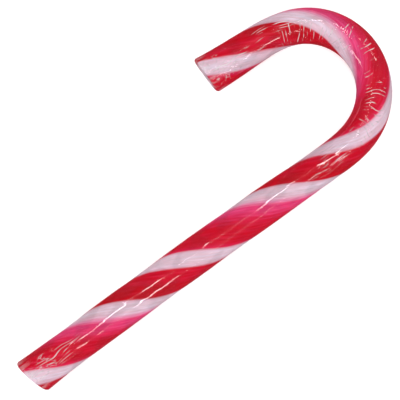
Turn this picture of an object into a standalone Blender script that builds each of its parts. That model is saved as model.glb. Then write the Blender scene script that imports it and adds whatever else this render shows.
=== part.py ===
"""A hard-candy cane: a twisted sugar rod with one end bent into a round hook, lying on its side.

Frame: metres, +Z up. The straight shaft runs along +Y towards the hook, the hook curls towards -X, and
the origin is under the middle of the cane's outline, on the surface that it rests on.
"""

import math

import bmesh
import bpy
from mathutils import Vector

MM = 0.001

# The rod's own line, from the cut end of the shaft to the cut end of the hook.
SHAFT_LENGTH = 102.2 * MM
EASE_IN_LENGTH = 24.6 * MM  # where the straight rod begins to bend
ROUND_LENGTH = 36.5 * MM
EASE_OUT_LENGTH = 26.5 * MM
TAIL_LENGTH = 8.3 * MM
BEND_RADIUS = 19.55 * MM
SHAFT_BOW_RADIUS = -2490 * MM  # negative: it bows away from the hook
TAIL_BOW_RADIUS = -200 * MM
START_HEADING = math.radians(91.2)
RING_SPACING = 2.1 * MM

# The rod's section.
SHAFT_RADIUS = 5.65 * MM
HOOK_THINNING = 0.25 * MM  # pulling the soft rod round its former thins it
SHAFT_FLARE, SHAFT_FLARE_LENGTH = 0.42 * MM, 6.0 * MM  # the shears press the soft end wider
HOOK_FLARE, HOOK_FLARE_LENGTH = 0.3 * MM, 8.0 * MM
SECTION_POINTS = 36
STRAND_RELIEF = 0.14 * MM  # how far the red strands stand proud of the white ones

# The four strands round the section, as shares of a turn, and how far along the rod a turn takes.
WHITE_SHARE, NARROW_RED_SHARE, SECOND_WHITE_SHARE = 0.158, 0.262, 0.165
SHAFT_PITCH = 58.4 * MM
HOOK_PITCH = 75.1 * MM  # the bend is pulled longer, and its twist with it
START_TURN = math.radians(-202)  # where the first white strand is at the shaft's cut end

# The cut ends, slanted by the shears and with rounded rims, and the underside, flat from the cooling slab.
SHAFT_CUT_SLANT = math.radians(-12)
HOOK_CUT_SLANT = math.radians(-6.5)
SLANT_REACH = 12.0 * MM  # how far into the rod the slant fades out
RIM_RADIUS = 0.9 * MM
RIM_STEPS = 4
FLAT_DEPTH = 0.25 * MM

WELD_DISTANCE = 0.01 * MM
CANDY_COLOUR = (0.62, 0.02, 0.06, 1.0)


def clear_scene():
    for obj in list(bpy.data.objects):
        bpy.data.objects.remove(obj, do_unlink=True)


def smooth_step(value):
    value = min(max(value, 0.0), 1.0)
    return value * value * (3 - 2 * value)


def direction(heading):
    return Vector((math.cos(heading), math.sin(heading), 0))


def rod_length():
    return SHAFT_LENGTH + EASE_IN_LENGTH + ROUND_LENGTH + EASE_OUT_LENGTH + TAIL_LENGTH


def curvature(station):
    """How sharply the rod turns, in radians a metre, at this distance from the shaft's cut end."""
    bending = smooth_step((station - SHAFT_LENGTH) / EASE_IN_LENGTH)
    round_end = SHAFT_LENGTH + EASE_IN_LENGTH + ROUND_LENGTH
    straightening = smooth_step((station - round_end) / EASE_OUT_LENGTH)
    return (
        (1 - bending) / SHAFT_BOW_RADIUS
        + bending * (1 - straightening) / BEND_RADIUS
        + straightening / TAIL_BOW_RADIUS
    )


def full_radius(station):
    """The rod's radius, before its rims are rounded."""
    into_hook = smooth_step((station - SHAFT_LENGTH + EASE_IN_LENGTH) / EASE_IN_LENGTH)
    into_tail = smooth_step((station - rod_length() + EASE_OUT_LENGTH) / EASE_OUT_LENGTH)
    thinning = HOOK_THINNING * into_hook * (1 - into_tail)
    shaft_flare = SHAFT_FLARE * math.exp(-station / SHAFT_FLARE_LENGTH)
    hook_flare = HOOK_FLARE * math.exp((station - rod_length()) / HOOK_FLARE_LENGTH)
    return SHAFT_RADIUS - thinning + shaft_flare + hook_flare


def ring_radius(station):
    """The radius with the rims' rounding, a quarter circle at each end."""
    inset = RIM_RADIUS - min(station, rod_length() - station, RIM_RADIUS)
    return full_radius(station) - RIM_RADIUS + math.sqrt(max(RIM_RADIUS**2 - inset**2, 0.0))


def twist_rate(station):
    """How fast the strands turn round the rod, in radians a metre."""
    into_hook = smooth_step((station - SHAFT_LENGTH) / EASE_IN_LENGTH)
    return 2 * math.pi * ((1 - into_hook) / SHAFT_PITCH + into_hook / HOOK_PITCH)


def ring_stations():
    """Evenly spaced rings, with closer ones round each rim."""
    angles = [math.pi / 2 * step / RIM_STEPS for step in range(RIM_STEPS)]
    rim = [RIM_RADIUS * (1 - math.cos(angle)) for angle in angles]
    length = rod_length()
    steps = math.ceil((length - 2 * RIM_RADIUS) / RING_SPACING)
    inner = [RIM_RADIUS + (length - 2 * RIM_RADIUS) * step / steps for step in range(steps + 1)]
    return rim + inner + [length - distance for distance in reversed(rim)]


def rod_line():
    """Each ring's station, place, heading and turn of the strands, added up along the rod."""
    stations = ring_stations()
    heading, turn = START_HEADING, START_TURN
    place = Vector((0, 0, 0))
    line = [(stations[0], place.copy(), heading, turn)]
    for start, end in zip(stations, stations[1:]):
        step = end - start
        place += direction(heading + curvature(start) * step / 2) * step
        heading += curvature((start + end) / 2) * step
        turn += twist_rate((start + end) / 2) * step
        line.append((end, place.copy(), heading, turn))
    return line


def strand_relief(share):
    """Height of the section's outline at this share of a turn: low along the whites, domed along the reds."""
    second_white = WHITE_SHARE + NARROW_RED_SHARE
    wide_red = second_white + SECOND_WHITE_SHARE
    if WHITE_SHARE < share < second_white:
        across = (share - WHITE_SHARE) / NARROW_RED_SHARE
    elif share > wide_red:
        across = (share - wide_red) / (1 - wide_red)
    else:
        across = 0.0
    return STRAND_RELIEF * math.sqrt(max(math.sin(math.pi * across), 0.0))


def make_section(collection):
    """The rod's outline across its line, of mean radius 1, for the curve to carry along."""
    data = bpy.data.curves.new("rod_section", "CURVE")
    data.dimensions = "2D"
    spline = data.splines.new("POLY")
    spline.points.add(SECTION_POINTS - 1)
    spline.use_cyclic_u = True
    for index, point in enumerate(spline.points):
        share = index / SECTION_POINTS
        radius = 1 + (strand_relief(share) - STRAND_RELIEF / 2) / SHAFT_RADIUS
        angle = math.pi / 2 + 2 * math.pi * (share - WHITE_SHARE / 2)
        point.co = (radius * math.cos(angle), radius * math.sin(angle), 0, 1)
    section = bpy.data.objects.new("rod_section", data)
    section.hide_render = True
    section.display_type = "WIRE"
    collection.objects.link(section)
    return section


def make_rod_curve(collection, section):
    """The rod as a curve: its section is carried along the line and tilts with the strands' twist."""
    data = bpy.data.curves.new("rod_line", "CURVE")
    data.dimensions = "3D"
    data.twist_mode = "Z_UP"
    data.bevel_mode = "OBJECT"
    data.bevel_object = section
    data.use_fill_caps = True
    line = rod_line()
    spline = data.splines.new("POLY")
    spline.points.add(len(line) - 1)
    for point, (station, place, _, turn) in zip(spline.points, line):
        point.co = (place.x, place.y, full_radius(station) - FLAT_DEPTH, 1)
        point.radius = ring_radius(station)
        point.tilt = turn
    rod = bpy.data.objects.new("rod_line", data)
    collection.objects.link(rod)
    return rod


def mesh_from_curve(curve_object, name):
    """The curve's evaluated surface as a mesh of its own."""
    bpy.context.view_layer.update()
    graph = bpy.context.evaluated_depsgraph_get()
    mesh = bpy.data.meshes.new_from_object(curve_object.evaluated_get(graph))
    mesh.name = name
    return mesh


def slant_end(shape, place, inward, slant):
    """Slides one end's rings along the rod, more on one side than on the other, as slanted shears cut it."""
    sideways = Vector((0, 0, 1)).cross(inward)
    for vert in shape.verts:
        offset = vert.co - place
        depth = offset.dot(inward)
        if offset.length < 2 * SLANT_REACH and depth < SLANT_REACH:
            share = smooth_step((SLANT_REACH - depth) / (SLANT_REACH - RIM_RADIUS))
            vert.co += inward * offset.dot(sideways) * math.tan(slant) * share


def cut_flat_underside(shape):
    """Takes off what lies below the resting surface and closes the cut with one flat face."""
    cut = bmesh.ops.bisect_plane(
        shape,
        geom=shape.verts[:] + shape.edges[:] + shape.faces[:],
        dist=WELD_DISTANCE,
        plane_co=(0, 0, 0),
        plane_no=(0, 0, -1),
        clear_outer=True,
    )
    edges = [item for item in cut["geom_cut"] if isinstance(item, bmesh.types.BMEdge)]
    bmesh.ops.edgeloop_fill(shape, edges=edges)
    for vert in shape.verts:
        if vert.co.z < WELD_DISTANCE:
            vert.co.z = 0.0


def centre_on_outline(shape):
    """Moves the mesh so that the middle of its outline, seen from above, is at the origin."""
    across = [vert.co.x for vert in shape.verts]
    along = [vert.co.y for vert in shape.verts]
    middle = Vector((min(across) + max(across), min(along) + max(along), 0)) / 2
    bmesh.ops.translate(shape, verts=shape.verts, vec=-middle)


def candy_material():
    material = bpy.data.materials.new("striped_candy")
    material.use_nodes = True
    shader = material.node_tree.nodes["Principled BSDF"]
    shader.inputs["Base Color"].default_value = CANDY_COLOUR
    shader.inputs["Roughness"].default_value = 0.12
    shader.inputs["Metallic"].default_value = 0.0
    return material


def make_cane(parts, helpers):
    rod = make_rod_curve(helpers, make_section(helpers))
    mesh = mesh_from_curve(rod, "candy_cane")
    bpy.data.objects.remove(rod, do_unlink=True)

    shape = bmesh.new()
    shape.from_mesh(mesh)
    bmesh.ops.remove_doubles(shape, verts=shape.verts, dist=WELD_DISTANCE)
    line = rod_line()
    _, shaft_end, shaft_heading, _ = line[0]
    _, hook_end, hook_heading, _ = line[-1]
    slant_end(shape, shaft_end, direction(shaft_heading), SHAFT_CUT_SLANT)
    slant_end(shape, hook_end, -direction(hook_heading), HOOK_CUT_SLANT)
    cut_flat_underside(shape)
    bmesh.ops.recalc_face_normals(shape, faces=shape.faces)
    centre_on_outline(shape)
    shape.to_mesh(mesh)
    shape.free()

    mesh.materials.clear()
    mesh.materials.append(candy_material())
    mesh.shade_smooth()
    mesh.set_sharp_from_angle(angle=math.radians(40))
    cane = bpy.data.objects.new("candy_cane", mesh)
    parts.objects.link(cane)


def main():
    clear_scene()
    parts = bpy.data.collections.new("candy_cane")
    helpers = bpy.data.collections.new("helpers")
    bpy.context.scene.collection.children.link(parts)
    bpy.context.scene.collection.children.link(helpers)
    make_cane(parts, helpers)


main()
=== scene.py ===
# %% [markdown]
# # A striped candy cane in its clear wrapper
#
# A candy cane is a rope of boiled sugar. The maker lays strands of red and white sugar side by side,
# pulls and rolls them into a twisted rod, cuts it, bends one end round a peg while it is warm, and slips
# a tube of clear film over it that shrinks tight in hot air.
#
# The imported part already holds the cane's true outline and rests on its flat underside. This file loads
# it as a fixed frame and builds two fine pieces in the same place: the candy rod and the film round it.

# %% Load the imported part
import math

import bmesh
import bpy
import numpy as np
from mathutils import Matrix, Vector, noise


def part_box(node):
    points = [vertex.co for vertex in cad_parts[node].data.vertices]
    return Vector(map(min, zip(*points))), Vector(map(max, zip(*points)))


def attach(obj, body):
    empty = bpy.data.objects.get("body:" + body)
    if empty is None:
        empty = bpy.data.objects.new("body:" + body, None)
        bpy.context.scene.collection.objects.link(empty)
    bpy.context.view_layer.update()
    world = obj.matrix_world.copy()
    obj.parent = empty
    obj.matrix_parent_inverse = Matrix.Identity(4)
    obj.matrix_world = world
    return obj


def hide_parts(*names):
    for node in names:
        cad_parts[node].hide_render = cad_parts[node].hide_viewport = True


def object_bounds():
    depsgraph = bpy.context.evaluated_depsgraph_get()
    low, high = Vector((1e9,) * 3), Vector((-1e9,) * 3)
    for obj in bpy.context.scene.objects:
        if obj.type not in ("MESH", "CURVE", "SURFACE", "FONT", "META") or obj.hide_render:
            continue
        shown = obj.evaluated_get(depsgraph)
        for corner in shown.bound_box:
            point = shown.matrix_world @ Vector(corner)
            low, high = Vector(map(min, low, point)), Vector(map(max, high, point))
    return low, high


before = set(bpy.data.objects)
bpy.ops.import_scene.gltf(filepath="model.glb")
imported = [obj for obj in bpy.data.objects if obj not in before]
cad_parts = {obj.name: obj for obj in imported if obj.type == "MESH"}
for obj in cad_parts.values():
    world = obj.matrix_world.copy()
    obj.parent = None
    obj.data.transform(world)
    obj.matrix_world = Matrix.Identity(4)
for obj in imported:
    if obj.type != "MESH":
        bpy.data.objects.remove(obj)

CANE = "candy_cane"
cad_low, cad_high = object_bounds()
print("the packed cane reaches from", tuple(cad_low), "to", tuple(cad_high))

# %% [markdown]
# ## The line that the rod follows
#
# A bent rod is easiest to describe by how sharply it turns at each distance along it. The shaft is nearly
# straight, the turning eases in, stays even round the peg, and eases out again into a short straight tail.
# Adding the turning up gives the heading, and adding the heading up gives the place. The strands' twist is
# added up in the same way: it is a little slower in the hook, because bending stretched the rod there.

# %% The rod's line
MM = 0.001
SHAFT_LENGTH = 102.2 * MM
EASE_IN_LENGTH = 24.6 * MM
ROUND_LENGTH = 36.5 * MM
EASE_OUT_LENGTH = 26.5 * MM
TAIL_LENGTH = 8.3 * MM
ROD_LENGTH = SHAFT_LENGTH + EASE_IN_LENGTH + ROUND_LENGTH + EASE_OUT_LENGTH + TAIL_LENGTH
BEND_RADIUS = 19.55 * MM
SHAFT_BOW_RADIUS = -2490 * MM
TAIL_BOW_RADIUS = -200 * MM
START_HEADING = math.radians(91.2)
SHAFT_PITCH, HOOK_PITCH = 58.4 * MM, 75.1 * MM
START_TURN = -202 / 360
LINE_STEP = 0.1 * MM


def smooth_step(value):
    value = np.clip(value, 0.0, 1.0)
    return value * value * (3 - 2 * value)


def rod_line():
    """Stations along the rod with their places, headings and turns of the strands."""
    stations = np.arange(0.0, ROD_LENGTH + LINE_STEP, LINE_STEP)
    bending = smooth_step((stations - SHAFT_LENGTH) / EASE_IN_LENGTH)
    round_end = SHAFT_LENGTH + EASE_IN_LENGTH + ROUND_LENGTH
    straightening = smooth_step((stations - round_end) / EASE_OUT_LENGTH)
    curvature = (1 - bending) / SHAFT_BOW_RADIUS + bending * (1 - straightening) / BEND_RADIUS
    curvature += straightening / TAIL_BOW_RADIUS
    twist = (1 - bending) / SHAFT_PITCH + bending / HOOK_PITCH
    heading = START_HEADING + np.cumsum(curvature) * LINE_STEP
    turn = START_TURN + np.cumsum(twist) * LINE_STEP
    x = np.cumsum(np.cos(heading)) * LINE_STEP
    y = np.cumsum(np.sin(heading)) * LINE_STEP
    return {"station": stations, "x": x, "y": y, "heading": heading, "turn": turn}


def along_line(what, station):
    return np.interp(station, line["station"], line[what])


line = rod_line()
print("the rod is %.1f mm long and turns %.2f times" % (ROD_LENGTH / MM, line["turn"][-1] - START_TURN))

# %% [markdown]
# ## The rod's thickness and its rounded ends
#
# The section is almost round. The red strands stand a little proud of the white ones, the bend is pulled
# thinner, and the shears that cut the warm rod press its ends wider. To close the ends well, the surface
# is described from pole to pole: across one cut end, round its rim, along the rod, and back in over the
# other end.

# %% Thickness and profile
SHAFT_RADIUS = 5.65 * MM
HOOK_THINNING = 0.25 * MM
SHAFT_FLARE, SHAFT_FLARE_LENGTH = 0.42 * MM, 6.0 * MM
HOOK_FLARE, HOOK_FLARE_LENGTH = 0.3 * MM, 8.0 * MM
RIM_RADIUS = 0.9 * MM
FLAT_DEPTH = 0.25 * MM
WHITE_SHARE, NARROW_RED_SHARE, SECOND_WHITE_SHARE = 0.158, 0.262, 0.165
STRAND_RELIEF = 0.14 * MM
RIM_POINTS, SIDE_POINTS = 9, 1500


def full_radius(station):
    into_hook = smooth_step((station - SHAFT_LENGTH + EASE_IN_LENGTH) / EASE_IN_LENGTH)
    into_tail = smooth_step((station - ROD_LENGTH + EASE_OUT_LENGTH) / EASE_OUT_LENGTH)
    flare = SHAFT_FLARE * np.exp(-station / SHAFT_FLARE_LENGTH)
    flare += HOOK_FLARE * np.exp((station - ROD_LENGTH) / HOOK_FLARE_LENGTH)
    return SHAFT_RADIUS - HOOK_THINNING * into_hook * (1 - into_tail) + flare


def pole_to_pole():
    """The rod's profile: distances along it, with each one's station and share of the full radius."""
    angles = np.linspace(0, math.pi / 2, RIM_POINTS)
    rim_station = RIM_RADIUS * (1 - np.cos(angles))
    rim_radius = full_radius(rim_station) - RIM_RADIUS * (1 - np.sin(angles))
    side = np.linspace(RIM_RADIUS, ROD_LENGTH - RIM_RADIUS, SIDE_POINTS)[1:-1]
    far_station = ROD_LENGTH - rim_station[::-1]
    far_radius = full_radius(far_station) - RIM_RADIUS * (1 - np.sin(angles[::-1]))
    station = np.concatenate([[0.0], rim_station, side, far_station, [ROD_LENGTH]])
    radius = np.concatenate([[0.0], rim_radius, full_radius(side), far_radius, [0.0]])
    distance = np.concatenate([[0.0], np.cumsum(np.hypot(np.diff(station), np.diff(radius)))])
    return distance, station, radius


def strand_height(share):
    """How proud the surface stands at this share of a turn, counted from the start of the first white.

    The strands' crowns are half the relief above the full radius, and their joints half of it below.
    """
    second_white = WHITE_SHARE + NARROW_RED_SHARE
    wide_red = second_white + SECOND_WHITE_SHARE
    narrow = np.clip((share - WHITE_SHARE) / NARROW_RED_SHARE, 0, 1)
    wide = np.clip((share - wide_red) / (1 - wide_red), 0, 1)
    dome = np.maximum(np.sin(math.pi * narrow), np.sin(math.pi * wide))
    return STRAND_RELIEF * (np.sqrt(np.maximum(dome, 0)) - 0.5)


profile_distance, profile_station, profile_radius = pole_to_pole()
SURFACE_LENGTH = profile_distance[-1]
print("from pole to pole the surface measures %.1f mm" % (SURFACE_LENGTH / MM))

# %% [markdown]
# ## From a straight rod to the bent one
#
# Everything is worked out on the straight rod, where a point is an angle round it and a station along it.
# This step carries such points to their places in the room. The shears cut both ends at a slant, so the
# rings near an end slide along the rod, more on one side than on the other. What would lie below the
# resting height is pressed flat, as the warm candy was on its cooling slab.
#
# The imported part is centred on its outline, so the line is moved until the outline's middle agrees.

# %% Carry points onto the rod
SHAFT_CUT_SLANT, HOOK_CUT_SLANT = math.tan(math.radians(-12)), math.tan(math.radians(-6.5))
SLANT_REACH = 12.0 * MM
OUTLINE_POINTS = 800


def carry_onto_rod(angle, station, radius, resting_height=0.0):
    """Places for points given by their angle round the rod, their station and their distance out."""
    heading = along_line("heading", station)
    forward = np.stack([np.cos(heading), np.sin(heading)], axis=1)
    left = np.stack([-np.sin(heading), np.cos(heading)], axis=1)
    sideways = radius * np.sin(angle)
    near_shaft_end = smooth_step((SLANT_REACH - station) / (SLANT_REACH - RIM_RADIUS))
    near_hook_end = smooth_step((SLANT_REACH - ROD_LENGTH + station) / (SLANT_REACH - RIM_RADIUS))
    slide = sideways * (SHAFT_CUT_SLANT * near_shaft_end + HOOK_CUT_SLANT * near_hook_end)
    flat = left * sideways[:, None] + forward * slide[:, None]
    x = along_line("x", station) + flat[:, 0]
    y = along_line("y", station) + flat[:, 1]
    z = full_radius(station) - FLAT_DEPTH + radius * np.cos(angle)
    return np.stack([x, y, np.maximum(z, resting_height)], axis=1)


def centre_line_on(low, high):
    """Moves the line so that the rod's outline has the same middle as the box given."""
    station = np.repeat(np.linspace(0, ROD_LENGTH, OUTLINE_POINTS), 2)
    angle = np.tile([math.pi / 2, -math.pi / 2], OUTLINE_POINTS)
    outline = carry_onto_rod(angle, station, full_radius(station))
    middle = (outline.min(axis=0) + outline.max(axis=0)) / 2
    line["x"] += (low.x + high.x) / 2 - middle[0]
    line["y"] += (low.y + high.y) / 2 - middle[1]


centre_line_on(*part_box(CANE))
print("the shaft's cut end is at %.1f, %.1f mm" % (line["x"][0] / MM, line["y"][0] / MM))

# %% [markdown]
# ## One tube maker for both pieces
#
# The candy and the film start alike, as a straight open cylinder. The cylinder is cut into many rings, and
# its vertices are then carried onto the rod: the height becomes the way from pole to pole, and the angle
# becomes the angle round the rod. Each end ring is merged into one vertex, which closes the tube.
#
# The patterns must follow the rod and not the room, so each vertex keeps where it is on the straight rod.
# "strand" turns with the twist, and the stripes read it. "sleeve" doesn't turn, and the film's creases
# read it.

# %% A straight tube, and where its vertices are on the rod
def straight_tube(segments, rings):
    """An open cylinder of radius 1 and height 1, cut into that many rings of vertices."""
    shape = bmesh.new()
    bmesh.ops.create_cone(shape, cap_ends=False, segments=segments, radius1=1, radius2=1, depth=1)
    lengthwise = [edge for edge in shape.edges if edge.verts[0].co.z != edge.verts[1].co.z]
    bmesh.ops.subdivide_edges(shape, edges=lengthwise, cuts=rings - 2, use_grid_fill=True)
    return shape


def straight_rod_points(shape, ring_shares):
    """Each vertex's ring, angle, station, radius and share of a strand's turn on the straight rod."""
    straight = np.array([vert.co for vert in shape.verts])
    ring = np.rint((straight[:, 2] + 0.5) * (len(ring_shares) - 1)).astype(int)
    angle = np.arctan2(straight[:, 1], straight[:, 0])
    distance = np.asarray(ring_shares)[ring] * SURFACE_LENGTH
    station = np.interp(distance, profile_distance, profile_station)
    radius = np.interp(distance, profile_distance, profile_radius)
    share = (along_line("turn", station) + angle / (2 * math.pi) + WHITE_SHARE / 2) % 1.0
    at = {"angle": angle, "distance": distance, "station": station, "radius": radius, "share": share}
    return ring, at


trial = straight_tube(segments=12, rings=5)
print("a trial tube of 5 rings of 12 has", len(trial.verts), "vertices")
trial.free()

# %% The tube maker
FACE_SHARE = 0.8


def keep_on_vertices(shape, name, columns):
    layer = shape.verts.layers.float_vector.new(name)
    for vert, value in zip(shape.verts, np.stack(columns, axis=1)):
        vert[layer] = value


def keep_place_on_rod(shape, at, across):
    """Keeps on the vertices the two attributes that the materials read."""
    turn = 2 * math.pi * at["share"]
    strand = [across * np.cos(turn), across * np.sin(turn), at["station"]]
    keep_on_vertices(shape, "strand", strand)
    x = at["radius"] * np.cos(at["angle"])
    y = at["radius"] * np.sin(at["angle"])
    keep_on_vertices(shape, "sleeve", [x, y, at["distance"]])


def close_ends(shape, ring, last):
    """Merges each end ring into one vertex. Both rings are picked out before the first merge."""
    ends = [[vert for vert, index in zip(shape.verts, ring) if index == end] for end in (0, last)]
    for end in ends:
        bmesh.ops.pointmerge(shape, verts=end, merge_co=end[0].co)


def make_tube(name, segments, ring_shares, inset, raise_by):
    """A closed tube along the rod, inset from its surface and raised by raise_by(points).

    On the side of the rod it is raised outwards, and on the cut faces lengthwise, away from the middle.
    """
    shape = straight_tube(segments, len(ring_shares))
    ring, at = straight_rod_points(shape, ring_shares)
    across = at["radius"] / full_radius(at["station"])
    outwards = strand_height(at["share"]) * across + raise_by(at) - inset
    on_side = smooth_step((across - FACE_SHARE) / (1 - FACE_SHARE))
    radius = np.maximum(at["radius"] + outwards * on_side, 0)
    towards_middle = np.where(at["station"] < ROD_LENGTH / 2, 1, -1)
    station = at["station"] - towards_middle * outwards * (1 - on_side)
    keep_place_on_rod(shape, at, across)
    for vert, place in zip(shape.verts, carry_onto_rod(at["angle"], station, radius, inset)):
        vert.co = place
    close_ends(shape, ring, len(ring_shares) - 1)
    bmesh.ops.recalc_face_normals(shape, faces=shape.faces)
    return finish_piece(name, shape)


def finish_piece(name, shape):
    mesh = bpy.data.meshes.new(name)
    shape.to_mesh(mesh)
    shape.free()
    mesh.shade_smooth()
    piece = bpy.data.objects.new(name, mesh)
    bpy.context.scene.collection.objects.link(piece)
    mesh.calc_loop_triangles()
    print(name, "has", len(mesh.loop_triangles), "triangles")
    return piece


print("a tube is raised outwards beyond %.0f%% of its radius, and endwise within" % (100 * FACE_SHARE))

# %% [markdown]
# ## The candy rod
#
# The candy lies just inside the film. Its own surface is smooth and a little uneven, because the rope was
# rolled by hand. The unevenness is drawn out along the rod, as the pulling left it.

# %% Make the candy
FILM_GAP = 0.12 * MM
CANDY_SEGMENTS, CANDY_RINGS = 128, 680
ROLLING = 0.05 * MM
ROLLING_AROUND, ROLLING_ALONG = 5 * MM, 16 * MM


def on_sleeve(at, around, along):
    """The points of the straight rod as Vectors, scaled to cells of these sizes around and along it."""
    x = at["radius"] * np.cos(at["angle"]) / around
    y = at["radius"] * np.sin(at["angle"]) / around
    return [Vector(point) for point in zip(x, y, at["distance"] / along)]


def candy_unevenness(at):
    points = on_sleeve(at, ROLLING_AROUND, ROLLING_ALONG)
    return ROLLING * np.array([noise.noise(point) for point in points])


even_rings = np.linspace(0, 1, CANDY_RINGS)
candy = make_tube("candy_rod", CANDY_SEGMENTS, even_rings, FILM_GAP, candy_unevenness)

# %% [markdown]
# ## Helpers for materials
#
# A material is a small network: nodes, and links from their outputs to other nodes' inputs. These helpers
# make a node and its links in one line. Colours are easiest to choose as a screen shows them, from 0 to
# 255, but shaders count light itself, so the last two turn screen colours into that linear scale.

# %% Helpers for materials
def new_material(name):
    material = bpy.data.materials.new(name)
    material.use_nodes = True
    tree = material.node_tree
    tree.nodes.clear()
    output = tree.nodes.new("ShaderNodeOutputMaterial")
    return material, tree, output


def node(tree, kind, inputs=None, **settings):
    """A new node with its settings, and its inputs set to values or linked to other nodes' outputs."""
    made = tree.nodes.new(kind)
    for name, value in settings.items():
        setattr(made, name, value)
    for name, value in (inputs or {}).items():
        if isinstance(value, bpy.types.NodeSocket):
            tree.links.new(value, made.inputs[name])
        else:
            made.inputs[name].default_value = value
    return made


def math_node(tree, operation, *values):
    return node(tree, "ShaderNodeMath", dict(enumerate(values)), operation=operation).outputs[0]


def mix_colours(tree, factor, first, second):
    made = node(tree, "ShaderNodeMix", data_type="RGBA")
    into = [made.inputs["Factor"]] + [socket for socket in made.inputs if socket.type == "RGBA"]
    for socket, value in zip(into, (factor, first, second)):
        if isinstance(value, bpy.types.NodeSocket):
            tree.links.new(value, socket)
        else:
            socket.default_value = value
    return next(socket for socket in made.outputs if socket.type == "RGBA")


def linear(red, green, blue):
    """A screen colour, 0 to 255, as the linear colour that shaders use."""
    def channel(value):
        value = value / 255
        return value / 12.92 if value <= 0.04045 else ((value + 0.055) / 1.055) ** 2.4
    return (channel(red), channel(green), channel(blue), 1.0)


def ramp(tree, factor, stops):
    made = node(tree, "ShaderNodeValToRGB", {"Fac": factor})
    elements = made.color_ramp.elements
    while len(elements) < len(stops):
        elements.new(0.5)
    for element, (position, colour) in zip(elements, stops):
        element.position = position
        element.color = linear(*colour)
    return made.outputs["Color"]


print("a screen grey of 188 is %.2f of white's light" % linear(188, 188, 188)[0])

# %% [markdown]
# ## Striped boiled sugar
#
# The stripes follow the strands, so their colour depends on the angle round the twist, which the "strand"
# attribute holds as a point on a circle: its arctangent is the angle, with no seam. A colour ramp turns the
# angle into stripes. Three of the four stripe edges are crisp, and the fourth melts from pink into white.
#
# Pulled sugar has fine streaks along the strands, so a second, lighter ramp is mixed in by noise that is
# drawn out along them. The same noise, and a slower one, fray and bend the stripes' edges a little, and
# a third makes the colour slightly cloudy. The rope is rolled round a pale core, which shows on the cut
# ends. Sugar also lets a little light in, which subsurface scattering gives.

# %% The stripes
WHITE, SHADED_WHITE = (216, 185, 198), (214, 168, 184)
DEEP_RED, RED, WARM_PINK = (190, 2, 24), (199, 6, 36), (210, 30, 72)
PINK, ROSE = (220, 56, 108), (224, 124, 160)
STRIPES = (
    (0.000, ROSE), (0.035, SHADED_WHITE), (0.070, WHITE), (0.130, WHITE), (0.156, SHADED_WHITE),
    (0.174, DEEP_RED), (0.270, DEEP_RED), (0.330, RED), (0.420, RED),
    (0.443, SHADED_WHITE), (0.480, WHITE), (0.560, WHITE), (0.582, SHADED_WHITE),
    (0.601, WARM_PINK), (0.640, RED), (0.790, RED), (0.865, WARM_PINK), (0.925, PINK), (0.970, PINK),
    (1.000, ROSE),
)
STREAK_SHIFT = (8, 28, 32)


def streaked(colour):
    return tuple(channel + shift for channel, shift in zip(colour, STREAK_SHIFT))


print("the stripes' ramp has", len(STRIPES), "stops, and a streak turns the red into", streaked(RED))

# %% The candy's material
WANDER_CELLS, STREAK_CELLS = (1.6, 1.6, 90), (9, 9, 110)
EDGE_WANDER, EDGE_FRAY = 0.024, 0.016
STRIPES_TURNED_BACK = 0.015
STREAKS_START, STREAKS_FULL, MOST_STREAK = 0.45, 0.75, 0.8
DARKEST_CLOUD, LIGHTEST_CLOUD = 0.91, 1.08
CORE_SHARE, CORE_SOFTNESS = 0.62, 0.16


def noise_along_strands(tree, strand, cells, finer, detail):
    """Noise with this many cells for each unit of the attribute, across twice and along."""
    scaled = node(tree, "ShaderNodeVectorMath", {0: strand, 1: cells}, operation="MULTIPLY")
    inputs = {"Vector": scaled.outputs[0], "Scale": finer, "Detail": detail}
    return node(tree, "ShaderNodeTexNoise", inputs).outputs["Fac"]


def share_of_turn(tree, around, wander, streak):
    """How far round the twist a point is, from 0 to 1, wandering and fraying by the two noises.

    Both noises are 0.5 on average, so half of what each one adds is taken off again.
    """
    angle = math_node(tree, "ARCTAN2", around["Y"], around["X"])
    turn = math_node(tree, "DIVIDE", angle, 2 * math.pi)
    wandered = math_node(tree, "MULTIPLY_ADD", wander, EDGE_WANDER, turn)
    frayed = math_node(tree, "MULTIPLY_ADD", streak, EDGE_FRAY, wandered)
    taken_off = (EDGE_WANDER + EDGE_FRAY) / 2 + STRIPES_TURNED_BACK
    return math_node(tree, "FRACT", math_node(tree, "ADD", frayed, 1 - taken_off))


def pale_core(tree, around, colour):
    """The colour, or the white of the core near the rod's middle."""
    flat = node(tree, "ShaderNodeCombineXYZ", {"X": around["X"], "Y": around["Y"]})
    from_middle = node(tree, "ShaderNodeVectorMath", {0: flat.outputs[0]}, operation="LENGTH")
    core = node(tree, "ShaderNodeMapRange", {
        "Value": from_middle.outputs["Value"],
        "From Min": CORE_SHARE + CORE_SOFTNESS, "From Max": CORE_SHARE,
    }, interpolation_type="SMOOTHSTEP")
    return mix_colours(tree, core.outputs["Result"], colour, linear(*WHITE))


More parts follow.
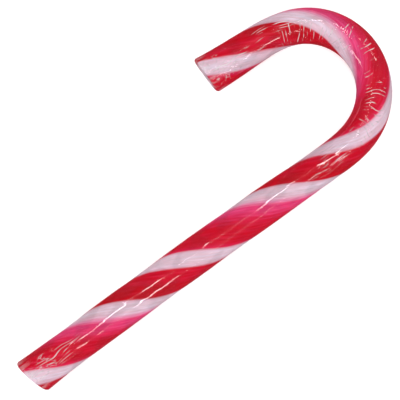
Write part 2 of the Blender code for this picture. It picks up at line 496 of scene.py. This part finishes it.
def candy_material():
    material, tree, output = new_material("striped_candy")
    strand = node(tree, "ShaderNodeAttribute", attribute_name="strand").outputs["Vector"]
    around = node(tree, "ShaderNodeSeparateXYZ", {"Vector": strand}).outputs
    wander = noise_along_strands(tree, strand, WANDER_CELLS, finer=1.0, detail=3.0)
    streak = noise_along_strands(tree, strand, STREAK_CELLS, finer=1.0, detail=4.0)
    cloud = noise_along_strands(tree, strand, WANDER_CELLS, finer=4.0, detail=5.0)

    share = share_of_turn(tree, around, wander, streak)
    plain = ramp(tree, share, STRIPES)
    bright = ramp(tree, share, [(position, streaked(colour)) for position, colour in STRIPES])
    amount = node(tree, "ShaderNodeMapRange", {
        "Value": streak, "From Min": STREAKS_START, "From Max": STREAKS_FULL,
        "To Min": 0.0, "To Max": MOST_STREAK,
    })
    colour = mix_colours(tree, amount.outputs["Result"], plain, bright)
    clouded = node(tree, "ShaderNodeMapRange", {
        "Value": cloud, "From Min": 0.3, "From Max": 0.7,
        "To Min": DARKEST_CLOUD, "To Max": LIGHTEST_CLOUD,
    })
    tinted = node(tree, "ShaderNodeVectorMath", {0: colour, "Scale": clouded.outputs["Result"]},
                  operation="SCALE")
    colour = pale_core(tree, around, tinted.outputs[0])

    bump = node(tree, "ShaderNodeBump", {"Height": streak, "Strength": 0.25, "Distance": 0.1 * MM})
    shader = node(tree, "ShaderNodeBsdfPrincipled", {
        "Base Color": colour, "Roughness": 0.32, "Normal": bump.outputs["Normal"],
        "Subsurface Weight": 0.2, "Subsurface Radius": (1.0, 0.25, 0.3), "Subsurface Scale": 0.6 * MM,
        "Specular IOR Level": 0.12,
    })
    tree.links.new(shader.outputs["BSDF"], output.inputs["Surface"])
    return material


candy.data.materials.append(candy_material())
print("the candy's material has", len(candy.data.materials[0].node_tree.nodes), "nodes")

# %% [markdown]
# ## The shrink film
#
# The film is a tube that shrank onto the rod. On the straight shaft it lies almost smooth, with slow waves
# that bend its reflections. Where the rod bends there is more film than the inner side needs, so it is
# thrown into pleats across the rod. At both ends, and where the bend begins and ends, it lies in loops of
# fine folds that run along the rod, or is simply crumpled.
#
# So the film is described by patches. Each says which creases it has and where: between which stations,
# in mm, and between which angles from the top of the rod, in degrees, where plus is the inner side of the
# bend.

# %% Where the film is creased
PLEATS, LOOPS, CRUMPLE = 0, 1, 2
CREASED_PATCHES = (
    (CRUMPLE, -2, 8, -10, 34), (LOOPS, 1, 17, -14, 34),
    (LOOPS, 103, 112, -24, -2), (LOOPS, 108, 120, 16, 36),
    (PLEATS, 119, 138, -24, 26), (PLEATS, 144, 153, -30, -2), (PLEATS, 150, 167, -6, 44),
    (PLEATS, 163, 172, -4, 54), (LOOPS, 168, 179, -28, -4),
    (LOOPS, 181, 194, 0, 26), (CRUMPLE, 190, 201, -34, 48),
)
PATCH_FADE, PATCH_ANGLE_FADE = 3.0, 10.0


def window(value, low, high, fade):
    """1 between low and high, fading to 0 past them."""
    return smooth_step((value - low) / fade + 1) * smooth_step((high - value) / fade + 1)


def creased(at, kind):
    """How strongly each point shows this kind of crease, from 0 to 1."""
    station, degrees = at["station"] / MM, np.degrees(at["angle"])
    patches = [np.zeros(len(station))]
    for patch_kind, first, last, low, high in CREASED_PATCHES:
        if patch_kind == kind:
            along = window(station, first, last, PATCH_FADE)
            patches.append(along * window(degrees, low, high, PATCH_ANGLE_FADE))
    return np.maximum.reduce(patches)


print("the film has", len(CREASED_PATCHES), "creased patches")

# %% [markdown]
# ## The film's own shape
#
# The larger creases are real shape. Each kind is a noise with sharp ridges, whose cells are long across the
# rod for pleats, long along it for loops, and round for crumples. Everywhere the film swells a little, and
# at both rims it is gathered, because the cut face inside the rim needs less film than the side does.

# %% Make the film
FILM_SEGMENTS = 160
FINE_RING, COARSE_RING = 0.29 * MM, 0.55 * MM
SMOOTH_START, SMOOTH_END, SMOOTH_FADE = 34 * MM, 100 * MM, 4 * MM
RING_SAMPLES = 4000
SWELL, PLEAT_HEIGHT, LOOP_HEIGHT, CRUMPLE_HEIGHT = 0.08 * MM, 0.12 * MM, 0.06 * MM, 0.10 * MM
WARP = 1.2 * MM
RIDGE_STEEPNESS, RIDGE_SHARPNESS = 2.2, 5
GATHER_HEIGHT, GATHER_REACH, GATHER_COUNT, GATHER_BEND = 0.05 * MM, 3.5 * MM, 26, 6


def film_ring_shares():
    """Rings set closer where the film crinkles: at both ends and round the hook."""
    distance = np.linspace(0, SURFACE_LENGTH, RING_SAMPLES)
    smooth_shaft = window(distance, SMOOTH_START, SMOOTH_END, SMOOTH_FADE)
    rings_per_metre = smooth_shaft / COARSE_RING + (1 - smooth_shaft) / FINE_RING
    steps = (rings_per_metre[1:] + rings_per_metre[:-1]) / 2 * np.diff(distance)
    count = np.concatenate([[0.0], np.cumsum(steps)])
    return np.interp(np.linspace(0, count[-1], int(count[-1])), count, distance) / SURFACE_LENGTH


def slow_noise(at, around, along, seed):
    shifted = [point + Vector((seed, -seed, seed)) for point in on_sleeve(at, around, along)]
    return np.array([noise.noise(point) for point in shifted])


def ridges(at, around, along, seed):
    """1 along the lines where the noise crosses zero, falling steeply to 0 beside them."""
    off_line = np.abs(slow_noise(at, around, along, seed))
    return np.maximum(1 - off_line * RIDGE_STEEPNESS, 0) ** RIDGE_SHARPNESS


def gathers(at):
    """Small folds along the rod, close to both rims."""
    from_end = np.minimum(at["station"], ROD_LENGTH - at["station"])
    bend = GATHER_BEND * slow_noise(at, 3 * MM, 9 * MM, seed=5.5)
    wave = np.sin(GATHER_COUNT * at["angle"] + bend)
    return smooth_step(1 - from_end / GATHER_REACH) * (0.5 + 0.5 * wave)


def film_creases(at):
    """How far the film stands off the rod's own outline, under which the candy lies."""
    warped = dict(at)
    warped["distance"] = at["distance"] + WARP * slow_noise(at, 4 * MM, 7 * MM, seed=7.7)
    height = SWELL * slow_noise(at, 3.5 * MM, 11 * MM, seed=3.1)
    height += PLEAT_HEIGHT * creased(at, PLEATS) * ridges(warped, 5 * MM, 1.6 * MM, seed=2.2)
    height += LOOP_HEIGHT * creased(at, LOOPS) * ridges(at, 1.5 * MM, 5 * MM, seed=4.4)
    height += CRUMPLE_HEIGHT * creased(at, CRUMPLE) * ridges(warped, 2.0 * MM, 2.2 * MM, seed=6.6)
    return height + GATHER_HEIGHT * gathers(at)


film = make_tube("shrink_film", FILM_SEGMENTS, film_ring_shares(), 0.0, film_creases)

# %% [markdown]
# ## Tell the material where the creases are
#
# The finest creases are too small for the mesh, so the material adds them. It can't call the functions
# above, so the mesh carries their answer in an attribute with one number for each kind of crease.

# %% Pass the crease strengths to the material
def mark_creases(piece):
    mesh = piece.data
    sleeve = np.empty(len(mesh.vertices) * 3)
    mesh.attributes["sleeve"].data.foreach_get("vector", sleeve)
    x, y, distance = sleeve.reshape(-1, 3).T
    station = np.interp(distance, profile_distance, profile_station)
    at = {"station": station, "angle": np.arctan2(y, x)}
    strengths = np.stack([creased(at, kind) for kind in (PLEATS, LOOPS, CRUMPLE)], axis=1)
    layer = mesh.attributes.new("creases", "FLOAT_VECTOR", "POINT")
    layer.data.foreach_set("vector", strengths.ravel())
    print("%.0f%% of the film is creased" % (100 * np.mean(strengths.max(axis=1) > 0.5)))


mark_creases(film)

# %% [markdown]
# ## Fine creases as lines
#
# Pleats are evenly spaced lines across the rod and loops are closer ones along it, both bent by noise.
# Crumples are the edges of Voronoi cells. A second noise rubs out parts of every line, so that what is left
# is short strokes, as on real film. All sizes here are in mm on the straight rod, because that is how the
# "sleeve" attribute measures it.

# %% Lines for the creases
PLEAT_SPACING, LOOP_SPACING, CRUMPLE_SIZE = 1.3, 0.9, 1.2
LINE_WIDTH = 0.14
LOOP_WIDTH_SHARE, LINE_CREST_SHARE = 0.85, 0.2
PLEAT_WANDER_SIZES, PLEAT_WANDER = (5, 5, 7), 3.2
LOOP_WANDER_SIZES, LOOP_WANDER = (3, 3, 6), 2.4
PLEAT_STROKE, LOOP_STROKE, CRUMPLE_STROKE = (3.6, 3.6, 1.3), (1.7, 1.7, 5.0), (2.0, 2.0, 2.0)
STROKES_START, STROKES_FULL = 0.45, 0.66


def noise_on(tree, place, sizes, detail=1.0):
    """Noise whose cells have these sizes, in mm, across x, across y and along the rod."""
    cells_per_metre = [1 / (size * MM) for size in sizes]
    scaled = node(tree, "ShaderNodeVectorMath", {0: place, 1: cells_per_metre}, operation="MULTIPLY")
    inputs = {"Vector": scaled.outputs[0], "Scale": 1.0, "Detail": detail}
    return node(tree, "ShaderNodeTexNoise", inputs).outputs["Fac"]


def between(tree, value, low, high):
    """0 below low and 1 above high, or the other way round if low is the larger."""
    made = node(tree, "ShaderNodeMapRange", {"Value": value, "From Min": low, "From Max": high},
                interpolation_type="SMOOTHSTEP")
    return made.outputs["Result"]


def wavy_lines(tree, across, wander, spacing, width):
    """Lines this far apart, in mm, where across counts the millimetres and wander bends the lines."""
    count = math_node(tree, "MULTIPLY_ADD", across, 1 / spacing, wander)
    off_line = math_node(tree, "SUBTRACT", math_node(tree, "FRACT", count), 0.5)
    off_line = math_node(tree, "ABSOLUTE", off_line)
    return between(tree, off_line, width / spacing, LINE_CREST_SHARE * width / spacing)


def pleat_lines(tree, sleeve, at, width):
    along = math_node(tree, "MULTIPLY", at["Z"], 1 / MM)
    wander = noise_on(tree, sleeve, PLEAT_WANDER_SIZES, 0.0)
    wander = math_node(tree, "MULTIPLY", wander, PLEAT_WANDER)
    return wavy_lines(tree, along, wander, PLEAT_SPACING, width)


def loop_lines(tree, sleeve, at, width):
    angle = math_node(tree, "ARCTAN2", at["Y"], at["X"])
    around = math_node(tree, "MULTIPLY", angle, SHAFT_RADIUS / MM)
    wander = noise_on(tree, sleeve, LOOP_WANDER_SIZES, 0.0)
    wander = math_node(tree, "MULTIPLY", wander, LOOP_WANDER)
    return wavy_lines(tree, around, wander, LOOP_SPACING, LOOP_WIDTH_SHARE * width)


def crumple_lines(tree, sleeve, width):
    cells = node(tree, "ShaderNodeTexVoronoi", {"Vector": sleeve, "Scale": 1 / (CRUMPLE_SIZE * MM)},
                 feature="DISTANCE_TO_EDGE")
    half_width = width / CRUMPLE_SIZE / 2
    return between(tree, cells.outputs["Distance"], half_width, LINE_CREST_SHARE * half_width)


def crease_lines(tree, sleeve, strength, width):
    """The crease lines of all three kinds, broken into strokes, each where the mesh says that it is."""
    at = node(tree, "ShaderNodeSeparateXYZ", {"Vector": sleeve}).outputs
    kinds = (
        (pleat_lines(tree, sleeve, at, width), PLEAT_STROKE, strength["X"]),
        (loop_lines(tree, sleeve, at, width), LOOP_STROKE, strength["Y"]),
        (crumple_lines(tree, sleeve, width), CRUMPLE_STROKE, strength["Z"]),
    )
    strongest = 0.0
    for lines, stroke_sizes, kind_strength in kinds:
        strokes = between(tree, noise_on(tree, sleeve, stroke_sizes), STROKES_START, STROKES_FULL)
        strokes = math_node(tree, "MULTIPLY", strokes, kind_strength)
        strongest = math_node(tree, "MAXIMUM", strongest, math_node(tree, "MULTIPLY", lines, strokes))
    return strongest


print("pleats are %.1f mm apart and loops %.1f mm" % (PLEAT_SPACING, LOOP_SPACING))

# %% [markdown]
# ## Clear film
#
# Film this thin is seen only by what it reflects. So its material is a mix of a transparent and a glossy
# shader, and the Fresnel node says how much it reflects: little when faced, more at a glancing angle.
#
# Where the film clings to the sugar only its outer face reflects. Where it is lifted, its inner face and
# the sugar below it reflect too, so a patchy noise makes the reflection stronger there. This breaks the
# long highlights of the shaft into short bright strokes.
#
# A sharp fold scatters the light that meets it, so it looks whitish from wherever it is seen, which a
# diffuse shader along the crease lines stands for, and along the streaks of the gathered rims. Beside each
# fold there is a painted shade: wider lines darken the clear shader's colour, which dims what is seen
# through the film. In the bump, every crease is a ridge.

# %% The film's material
CREASE_HEIGHT, SWELL_HEIGHT, RIPPLE_HEIGHT = 0.05, 1.2, 0.14
SWELL_SIZES, RIPPLE_SIZES, LIFT_SIZES = (11, 11, 14), (2.5, 2.5, 4), (4.5, 4.5, 9)
WHITENING, GATHER_WHITENING, VEIL, MOST_WHITENING = 0.74, 0.16, 0.003, 0.9
# Painted shade beside the creases: how much it darkens the film's clear colour, and how wide its lines are.
SHADE, SHADE_WIDTH = 0.12, 1.7 * LINE_WIDTH
HAZE_COLOUR = (1.0, 0.92, 0.94, 1.0)
FILM_IOR = 1.6
CLINGING, LIFTED = 0.16, 2.6
LIFT_START, LIFT_FULL = 0.48, 0.58
CREASE_DULLING = 0.75
MOST_REFLECTION = 0.12
FILM_ROUGHNESS = 0.08
GATHERS_START, GATHERS_END = 6.5 * MM, 10.0 * MM
GATHER_SIZES, GATHER_STREAKS_START, GATHER_STREAKS_FULL = (0.9, 0.9, 5.0), 0.42, 0.62


def gathered_ends(tree, sleeve):
    """Fine streaks where the film is gathered over the rims of both cut ends."""
    along = node(tree, "ShaderNodeSeparateXYZ", {"Vector": sleeve}).outputs["Z"]
    from_far_pole = math_node(tree, "SUBTRACT", SURFACE_LENGTH, along)
    from_pole = math_node(tree, "MINIMUM", along, from_far_pole)
    near_rim = between(tree, from_pole, GATHERS_END, GATHERS_START)
    streaks = noise_on(tree, sleeve, GATHER_SIZES)
    streaks = between(tree, streaks, GATHER_STREAKS_START, GATHER_STREAKS_FULL)
    return math_node(tree, "MULTIPLY", near_rim, streaks)


def film_bump(tree, sleeve, lines):
    """The normal of slow swells, small ripples and creases, whose heights are in mm."""
    swell = noise_on(tree, sleeve, SWELL_SIZES, 0.0)
    ripple = noise_on(tree, sleeve, RIPPLE_SIZES, 0.0)
    height = math_node(tree, "MULTIPLY", swell, SWELL_HEIGHT)
    height = math_node(tree, "MULTIPLY_ADD", ripple, RIPPLE_HEIGHT, height)
    height = math_node(tree, "MULTIPLY_ADD", lines, CREASE_HEIGHT, height)
    bump = node(tree, "ShaderNodeBump", {"Height": height, "Strength": 1.0, "Distance": MM})
    return bump.outputs["Normal"]


def film_reflection(tree, strength, lifted, normal):
    """The share of the light that is reflected: more where the film is lifted, less where it is creased."""
    strongest = math_node(tree, "MAXIMUM", strength["X"], strength["Y"])
    strongest = math_node(tree, "MAXIMUM", strongest, strength["Z"])
    dulled = math_node(tree, "MULTIPLY_ADD", strongest, -CREASE_DULLING, 1.0)
    lift = math_node(tree, "MULTIPLY_ADD", lifted, LIFTED - CLINGING, CLINGING)
    lift = math_node(tree, "MULTIPLY", lift, dulled)
    fresnel = node(tree, "ShaderNodeFresnel", {"IOR": FILM_IOR, "Normal": normal})
    share = math_node(tree, "MULTIPLY", fresnel.outputs["Fac"], lift)
    return math_node(tree, "MINIMUM", share, MOST_REFLECTION)


def film_whiteness(tree, sleeve, lines, lifted):
    """The share of the film that is whitish haze."""
    veil = math_node(tree, "MULTIPLY", lifted, VEIL)
    whiteness = math_node(tree, "MULTIPLY_ADD", lines, WHITENING, veil)
    gathered = gathered_ends(tree, sleeve)
    whiteness = math_node(tree, "MULTIPLY_ADD", gathered, GATHER_WHITENING, whiteness)
    return math_node(tree, "MINIMUM", whiteness, MOST_WHITENING)


def film_material():
    material, tree, output = new_material("clear_film")
    sleeve = node(tree, "ShaderNodeAttribute", attribute_name="sleeve").outputs["Vector"]
    creases = node(tree, "ShaderNodeAttribute", attribute_name="creases").outputs["Vector"]
    strength = node(tree, "ShaderNodeSeparateXYZ", {"Vector": creases}).outputs
    lines = crease_lines(tree, sleeve, strength, LINE_WIDTH)
    # Wider crease lines, for the painted shade beside each fold.
    painted_shade_lines = crease_lines(tree, sleeve, strength, SHADE_WIDTH)
    lifted = between(tree, noise_on(tree, sleeve, LIFT_SIZES), LIFT_START, LIFT_FULL)
    normal = film_bump(tree, sleeve, lines)

    # Painted shade: the clear colour is darker along the wider crease lines.
    painted_shade = math_node(tree, "MULTIPLY_ADD", painted_shade_lines, -SHADE, 1.0)
    clear = node(tree, "ShaderNodeBsdfTransparent", {"Color": painted_shade})
    gloss = node(tree, "ShaderNodeBsdfGlossy", {"Roughness": FILM_ROUGHNESS, "Normal": normal})
    haze = node(tree, "ShaderNodeBsdfDiffuse", {"Color": HAZE_COLOUR})
    smooth_film = node(tree, "ShaderNodeMixShader", {
        0: film_reflection(tree, strength, lifted, normal),
        1: clear.outputs["BSDF"], 2: gloss.outputs["BSDF"],
    })
    creased_film = node(tree, "ShaderNodeMixShader", {
        0: film_whiteness(tree, sleeve, lines, lifted),
        1: smooth_film.outputs["Shader"], 2: haze.outputs["BSDF"],
    })
    tree.links.new(creased_film.outputs["Shader"], output.inputs["Surface"])
    return material


film.data.materials.append(film_material())
print("the film's material has", len(film.data.materials[0].node_tree.nodes), "nodes")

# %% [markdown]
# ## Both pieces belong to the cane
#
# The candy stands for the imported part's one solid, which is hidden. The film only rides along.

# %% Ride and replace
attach(candy, "root")
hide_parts(CANE)
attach(film, "root")
print(candy.name, "replaces", CANE, "and", film.name, "rides along")

# %% [markdown]
# ## The studio
#
# The cane lies on a plain pale floor that glows a little, as a light table does, which keeps its shadow
# faint. Two long soft boxes hang over it, parallel to the shaft, one on each side, so each draws a thin
# bright streak along the film. Two small ones past its ends give the bend and the tail their glints.
#
# A pale room fills the shadows. Its reflection is kept dim, and the floor's is left out, as black cards
# round a glossy product do. Otherwise the film would mirror white everywhere and wash the red out.

# %% Floor, lights and room
FLOOR_SIZE, FLOOR_DROP = 3.0, 0.02 * MM
LIGHT_DISTANCE = 1.6
LONG_BOX, END_BOX = (0.12, 1.7), (0.5, 0.35)
SOFT_BOXES = (
    ("left_box", LONG_BOX, "Y", -15, 6.3), ("right_box", LONG_BOX, "Y", 32, 5.7),
    ("far_box", END_BOX, "X", -52, 2.0), ("near_box", END_BOX, "X", 52, 2.0),
)
WHITE_LIGHT = (1.0, 1.0, 1.0, 1.0)
ROOM_STRENGTH, ROOM_REFLECTION = 0.72, 0.02
FLOOR_COLOUR, FLOOR_GLOW = (0.7, 0.7, 0.7, 1.0), 0.58


def make_floor():
    shape = bmesh.new()
    bmesh.ops.create_grid(shape, x_segments=1, y_segments=1, size=FLOOR_SIZE / 2)
    bmesh.ops.translate(shape, verts=shape.verts, vec=(0, 0, -FLOOR_DROP))
    floor = finish_piece("floor", shape)
    material, tree, output = new_material("pale_floor")
    shader = node(tree, "ShaderNodeBsdfPrincipled", {
        "Base Color": FLOOR_COLOUR, "Roughness": 0.8, "Specular IOR Level": 0.1,
        "Emission Color": WHITE_LIGHT, "Emission Strength": FLOOR_GLOW,
    })
    tree.links.new(shader.outputs["BSDF"], output.inputs["Surface"])
    floor.data.materials.append(material)
    floor.visible_glossy = False


def hang_soft_box(name, size, axis, tilt, power, centre):
    """A rectangular light, tilted from straight overhead about this axis and facing the centre."""
    light = bpy.data.lights.new(name, "AREA")
    light.shape = "RECTANGLE"
    light.size, light.size_y = size
    light.energy = power
    turned = Matrix.Rotation(math.radians(tilt), 4, axis)
    away = Matrix.Translation((0, 0, LIGHT_DISTANCE))
    box = bpy.data.objects.new(name, light)
    box.matrix_world = Matrix.Translation(centre) @ turned @ away
    box.visible_camera = False
    bpy.context.scene.collection.objects.link(box)


def pale_room():
    world = bpy.data.worlds.new("pale_room")
    world.use_nodes = True
    tree = world.node_tree
    path = node(tree, "ShaderNodeLightPath")
    strength = node(tree, "ShaderNodeMapRange", {
        "Value": path.outputs["Is Glossy Ray"], "To Min": ROOM_STRENGTH, "To Max": ROOM_REFLECTION,
    })
    background = tree.nodes["Background"]
    background.inputs["Color"].default_value = WHITE_LIGHT
    tree.links.new(strength.outputs["Result"], background.inputs["Strength"])
    bpy.context.scene.world = world


cane_middle = (cad_low + cad_high) / 2
make_floor()
for name, size, axis, tilt, power in SOFT_BOXES:
    hang_soft_box(name, size, axis, tilt, power, cane_middle)
pale_room()
print(len(SOFT_BOXES), "soft boxes hang %.1f m from the cane" % LIGHT_DISTANCE)

# %% [markdown]
# ## The camera
#
# The camera looks straight down on the cane, turned so that the shaft runs from the lower left to the
# upper right. A long lens keeps the rod's two ends the same thickness.

# %% Camera
LENS, SENSOR = 120.0, 36.0
VIEW_WIDTH = 117.5 * MM
SHAFT_SLOPE = math.radians(36)
AIM_OFFSET = Vector((7.7 * MM, 1.35 * MM, 0))


def make_camera():
    data = bpy.data.cameras.new("camera")
    data.lens, data.sensor_width = LENS, SENSOR
    camera = bpy.data.objects.new("camera", data)
    distance = VIEW_WIDTH * LENS / SENSOR
    aim = cane_middle + AIM_OFFSET
    right = Vector((math.sin(SHAFT_SLOPE), math.cos(SHAFT_SLOPE), 0))
    up = Vector((-math.cos(SHAFT_SLOPE), math.sin(SHAFT_SLOPE), 0))
    turned = Matrix((right, up, Vector((0, 0, 1)))).transposed().to_4x4()
    camera.matrix_world = Matrix.Translation(aim + Vector((0, 0, distance))) @ turned
    bpy.context.scene.collection.objects.link(camera)
    bpy.context.scene.camera = camera
    print("the camera is %.0f mm above the cane" % (distance / MM))


make_camera()
bpy.context.scene.view_settings.view_transform = "Standard"
